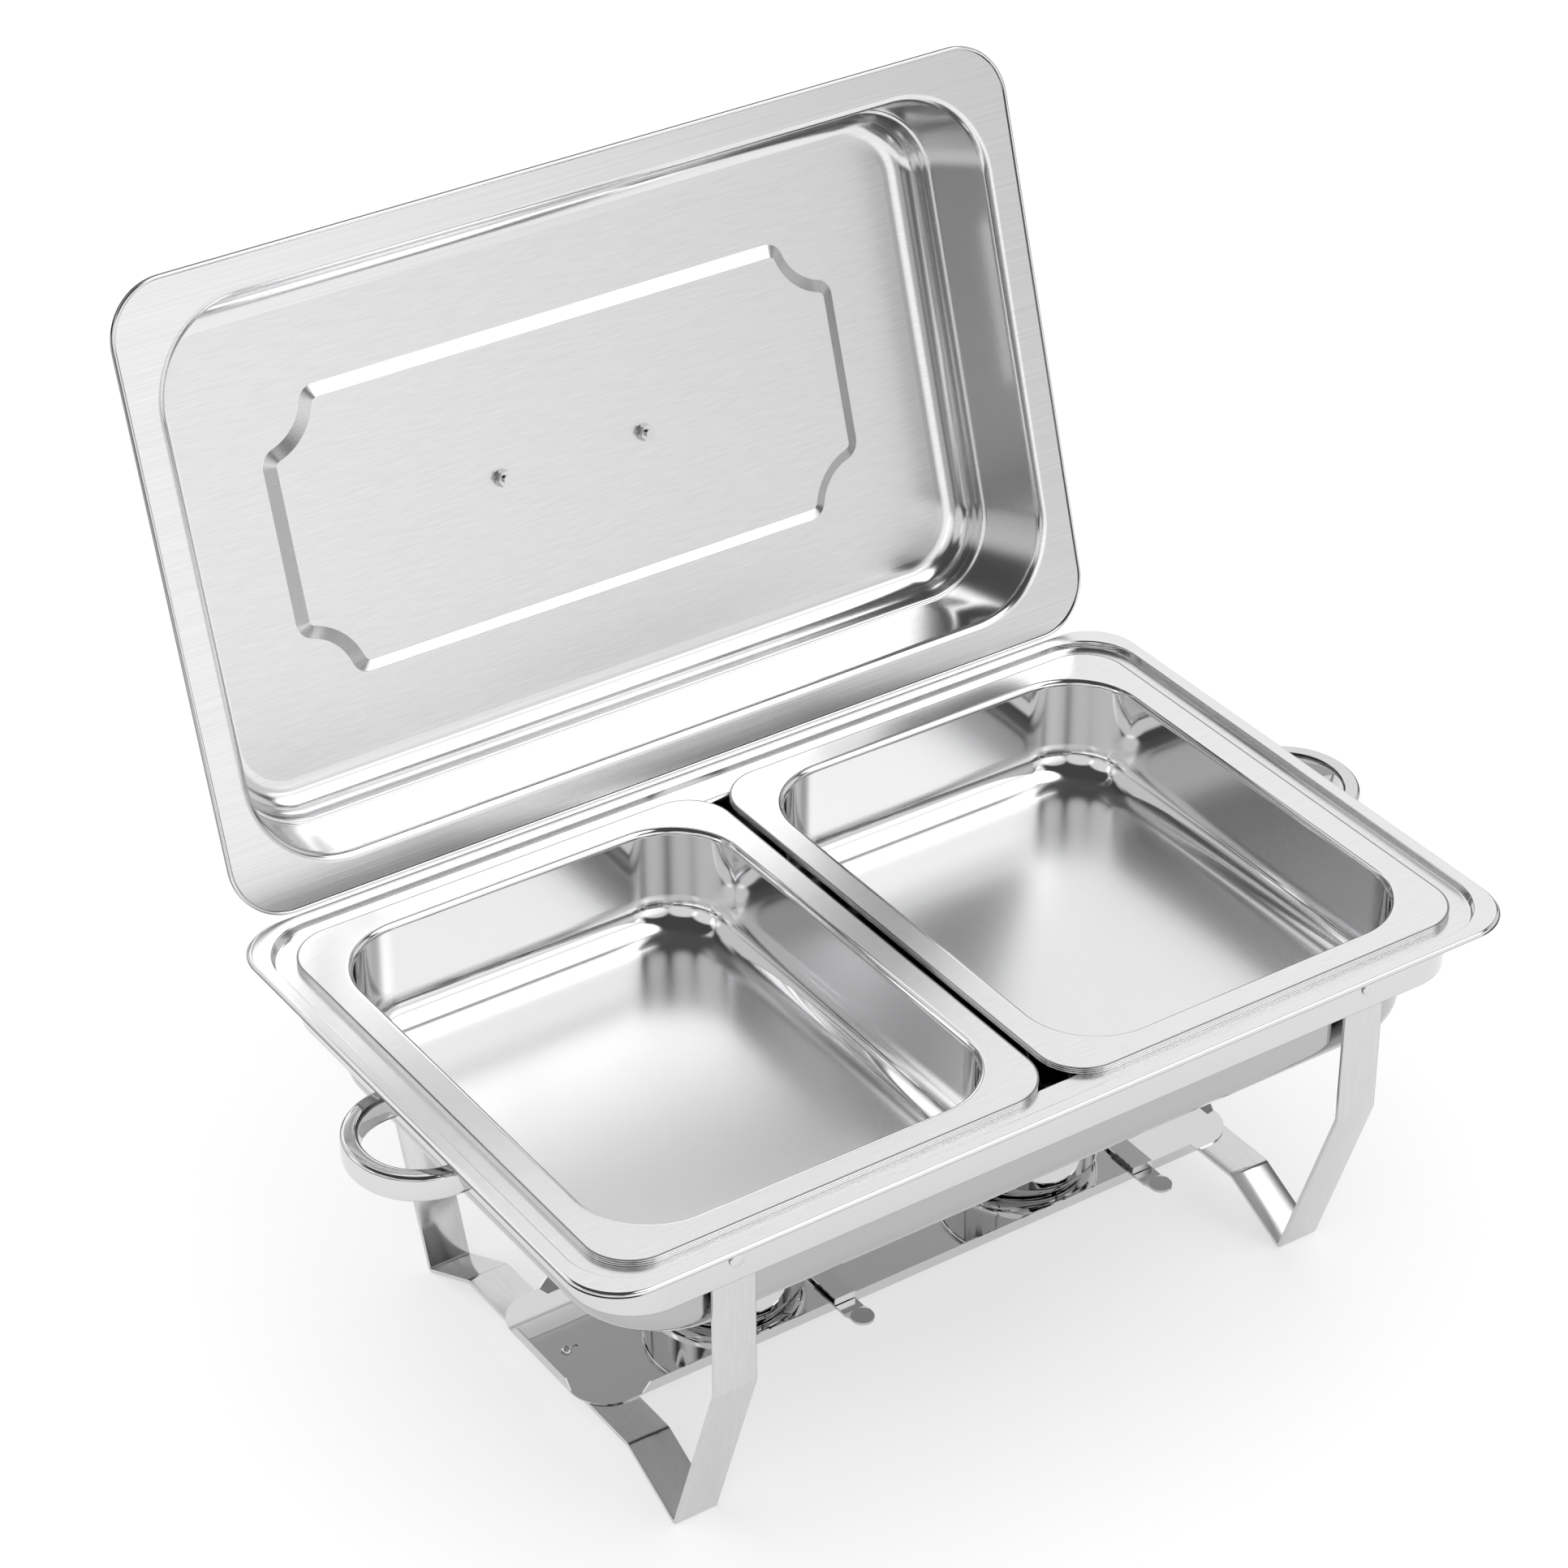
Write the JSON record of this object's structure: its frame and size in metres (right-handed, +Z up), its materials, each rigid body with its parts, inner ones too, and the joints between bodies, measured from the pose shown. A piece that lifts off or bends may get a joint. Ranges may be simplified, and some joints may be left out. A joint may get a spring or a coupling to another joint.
{
  "type": "chafing dish food warmer",
  "caption": "Folding-leg buffet food warmer with a water pan, lift-out food pans, a tall lid standing open and fuel cups on a low shelf.",
  "frame": {"origin": "middle of the bottom of the whole object with its lid open, on the floor", "axes": "+X along the length to the right, -Y towards the front where the cup handles point, +Z up"},
  "size_m": [0.631, 0.5146, 0.5456],
  "materials": {
    "polished": "mirror-polished stainless steel",
    "satin": "satin stainless steel",
    "brushed": "stainless steel brushed along its length"
  },
  "bodies": {
    "frame": {"rail": "polished", "left_handle": "polished", "right_handle": "polished", "pivot_rivets": "polished"},
    "left_leg": {"left_leg": "satin"},
    "right_leg": {"right_leg": "satin"},
    "shelf": {"shelf": "polished", "shelf_screws": "polished"},
    "left_cup": {"left_fuel_cup": "polished", "left_cup_handle": "satin", "left_cover_pivot": "polished"},
    "right_cup": {"right_fuel_cup": "polished", "right_cup_handle": "satin", "right_cover_pivot": "polished"},
    "left_cover": {"left_cover": "satin"},
    "right_cover": {"right_cover": "satin"},
    "water_pan": {"water_pan": "polished"},
    "left_food_pan": {"left_food_pan": "polished"},
    "right_food_pan": {"right_food_pan": "polished"},
    "lid": {"lid": "brushed", "lid_handle": "polished", "lid_bolts": "polished", "lid_washers": "satin", "lid_nuts": "polished"}
  },
  "joints": [
    {"name": "left_leg_fold", "type": "hinge", "parent": "frame", "child": "left_leg", "pos_m": [-0.19685, -0.07549, 0.1941], "axis": [0, -1, 0], "range_deg": [0, 90]},
    {"name": "right_leg_fold", "type": "hinge", "parent": "frame", "child": "right_leg", "pos_m": [0.19685, -0.07549, 0.1941], "axis": [0, 1, 0], "range_deg": [0, 90]},
    {"name": "shelf_lift", "type": "slide", "parent": "frame", "child": "shelf", "axis": [0, 0, 1], "range_m": [0, 0.1885]},
    {"name": "water_pan_lift", "type": "slide", "parent": "frame", "child": "water_pan", "axis": [0, 0, 1], "range_m": [0, 0.1885]},
    {"name": "lid_tilt", "type": "hinge", "parent": "water_pan", "child": "lid", "pos_m": [0, 0.10171, 0.2128], "axis": [-1, 0, 0], "range_deg": [-107.2, 0]},
    {"name": "left_pan_lift", "type": "slide", "parent": "water_pan", "child": "left_food_pan", "axis": [0, 0, 1], "range_m": [0, 0.1]},
    {"name": "right_pan_lift", "type": "slide", "parent": "water_pan", "child": "right_food_pan", "axis": [0, 0, 1], "range_m": [0, 0.1]},
    {"name": "left_cup_lift", "type": "slide", "parent": "shelf", "child": "left_cup", "axis": [0, 0, 1], "range_m": [0, 0.06]},
    {"name": "left_cover_swing", "type": "hinge", "parent": "left_cup", "child": "left_cover", "pos_m": [-0.0771, -0.12699, 0.06135], "axis": [0, 0, 1], "range_deg": [0, 70]},
    {"name": "right_cup_lift", "type": "slide", "parent": "shelf", "child": "right_cup", "axis": [0, 0, 1], "range_m": [0, 0.06]},
    {"name": "right_cover_swing", "type": "hinge", "parent": "right_cup", "child": "right_cover", "pos_m": [0.1179, -0.12699, 0.06135], "axis": [0, 0, 1], "range_deg": [0, 70]}
  ],
  "couplings": [
    {"joint": "right_leg_fold", "follows": "left_leg_fold", "ratio": 1},
    {"joint": "shelf_lift", "follows": "left_leg_fold", "m_per_rad": 0.12},
    {"joint": "water_pan_lift", "follows": "left_leg_fold", "m_per_rad": 0.12}
  ]
}
